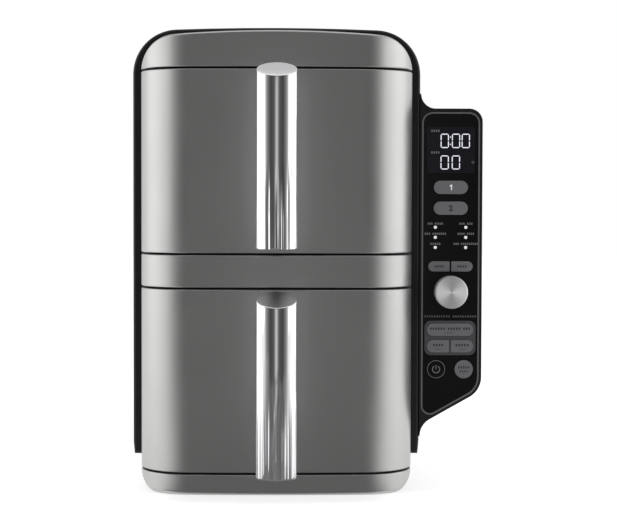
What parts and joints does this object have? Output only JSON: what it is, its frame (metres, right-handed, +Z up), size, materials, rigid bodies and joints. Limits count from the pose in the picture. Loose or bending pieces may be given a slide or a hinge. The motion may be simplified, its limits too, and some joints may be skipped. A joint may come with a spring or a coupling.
{
  "type": "air fryer",
  "caption": "Upright countertop air fryer with stacked pull-out drawers, bar handles, an arched black casing and a side control pod with display, dial and push buttons.",
  "frame": {"origin": "middle of the whole box, on the table", "axes": "+X to the right seen from the front, +Y from the front to the back, +Z up"},
  "size_m": [0.2886, 0.4722, 0.385],
  "materials": {
    "metallic_front": "metallic silver grey, satin",
    "casing_black": "black, satin",
    "black_plastic": "black, fine grain",
    "steel_sheet": "zinc coated sheet",
    "rubber": "black",
    "silicone": "dark grey silicone",
    "circuit_board": "green laminate",
    "panel_gloss": "black, glossy",
    "trim_grey": "grey, satin",
    "surround_grey": "dark grey",
    "display_glass": "smoked window",
    "display_module": "dark",
    "lamp_white": "clear light pipe",
    "encoder_steel": "plated",
    "dial_silver": "satin",
    "button_grey": "mid grey",
    "non_stick": "dark grey non-stick coat",
    "chrome": "polished",
    "heater_steel": "dark, heat tinted",
    "motor_grey": "grey",
    "fan_aluminium": "stamped",
    "fan_plastic": "black"
  },
  "bodies": {
    "body": {"base_tray": "black_plastic", "feet": "rubber", "base_band": "metallic_front", "mid_band": "metallic_front", "top_band": "metallic_front", "outer_casing": "casing_black", "rear_cover": "black_plastic", "cord_gland": "black_plastic", "front_bulkhead": "steel_sheet", "side_frames": "steel_sheet", "power_board": "circuit_board", "pod_housing": "black_plastic", "pod_face": "panel_gloss", "trim_ring": "trim_grey", "button_surround": "surround_grey", "display_lens": "display_glass", "display_module": "display_module", "control_board": "circuit_board", "mode_lamps": "lamp_white", "dial_encoder": "encoder_steel", "upper_chamber_liner": "steel_sheet", "upper_heater": "heater_steel", "upper_fan_guard": "steel_sheet", "upper_motor": "motor_grey", "lower_chamber_liner": "steel_sheet", "lower_heater": "heater_steel", "lower_fan_guard": "steel_sheet", "lower_motor": "motor_grey"},
    "upper_drawer": {"upper_drawer_front": "metallic_front", "upper_drawer_back": "black_plastic", "upper_drawer_seal": "silicone", "upper_basket": "non_stick", "upper_handle": "chrome", "upper_handle_bracket": "black_plastic"},
    "upper_plate": {"upper_crisper_plate": "non_stick", "upper_plate_feet": "silicone"},
    "upper_rotor": {"upper_fan_shaft": "heater_steel", "upper_convection_fan": "fan_aluminium", "upper_cooling_fan": "fan_plastic"},
    "lower_drawer": {"lower_drawer_front": "metallic_front", "lower_drawer_back": "black_plastic", "lower_drawer_seal": "silicone", "lower_basket": "non_stick", "lower_handle": "chrome", "lower_handle_bracket": "black_plastic"},
    "lower_plate": {"lower_crisper_plate": "non_stick", "lower_plate_feet": "silicone"},
    "lower_rotor": {"lower_fan_shaft": "heater_steel", "lower_convection_fan": "fan_aluminium", "lower_cooling_fan": "fan_plastic"},
    "dial": {"dial_knob": "dial_silver"},
    "zone_1_button": {"zone_1_button": "button_grey"},
    "zone_2_button": {"zone_2_button": "button_grey"},
    "temperature_button": {"temperature_button": "button_grey"},
    "time_button": {"time_button": "button_grey"},
    "stack_button": {"stack_button": "button_grey"},
    "sync_button": {"sync_button": "button_grey"},
    "match_button": {"match_button": "button_grey"},
    "power_button": {"power_button": "button_grey"},
    "start_button": {"start_button": "button_grey"}
  },
  "joints": [
    {"name": "upper_drawer_slide", "type": "slide", "parent": "body", "child": "upper_drawer", "axis": [0, -1, 0], "range_m": [0, 0.245]},
    {"name": "upper_plate_lift", "type": "slide", "parent": "upper_drawer", "child": "upper_plate", "axis": [0, 0, 1], "range_m": [0, 0.07]},
    {"name": "upper_rotor_spin", "type": "hinge", "parent": "body", "child": "upper_rotor", "pos_m": [-0.0259, 0.1583, 0.277], "axis": [0, 1, 0], "continuous": true},
    {"name": "lower_drawer_slide", "type": "slide", "parent": "body", "child": "lower_drawer", "axis": [0, -1, 0], "range_m": [0, 0.245]},
    {"name": "lower_plate_lift", "type": "slide", "parent": "lower_drawer", "child": "lower_plate", "axis": [0, 0, 1], "range_m": [0, 0.07]},
    {"name": "lower_rotor_spin", "type": "hinge", "parent": "body", "child": "lower_rotor", "pos_m": [-0.0259, 0.1583, 0.101], "axis": [0, 1, 0], "continuous": true},
    {"name": "dial_turn", "type": "hinge", "parent": "body", "child": "dial", "pos_m": [0.11805, -0.1139, 0.1677], "axis": [0, -1, 0], "continuous": true},
    {"name": "zone_1_press", "type": "slide", "parent": "body", "child": "zone_1_button", "axis": [0, 1, 0], "range_m": [0, 0.0008], "stiffness_N_per_m": 1500},
    {"name": "zone_2_press", "type": "slide", "parent": "body", "child": "zone_2_button", "axis": [0, 1, 0], "range_m": [0, 0.0008], "stiffness_N_per_m": 1500},
    {"name": "temperature_press", "type": "slide", "parent": "body", "child": "temperature_button", "axis": [0, 1, 0], "range_m": [0, 0.0008], "stiffness_N_per_m": 1500},
    {"name": "time_press", "type": "slide", "parent": "body", "child": "time_button", "axis": [0, 1, 0], "range_m": [0, 0.0008], "stiffness_N_per_m": 1500},
    {"name": "stack_press", "type": "slide", "parent": "body", "child": "stack_button", "axis": [0, 1, 0], "range_m": [0, 0.0008], "stiffness_N_per_m": 1500},
    {"name": "sync_press", "type": "slide", "parent": "body", "child": "sync_button", "axis": [0, 1, 0], "range_m": [0, 0.0008], "stiffness_N_per_m": 1500},
    {"name": "match_press", "type": "slide", "parent": "body", "child": "match_button", "axis": [0, 1, 0], "range_m": [0, 0.0008], "stiffness_N_per_m": 1500},
    {"name": "power_press", "type": "slide", "parent": "body", "child": "power_button", "axis": [0, 1, 0], "range_m": [0, 0.0008], "stiffness_N_per_m": 1500},
    {"name": "start_press", "type": "slide", "parent": "body", "child": "start_button", "axis": [0, 1, 0], "range_m": [0, 0.0008], "stiffness_N_per_m": 1500}
  ]
}
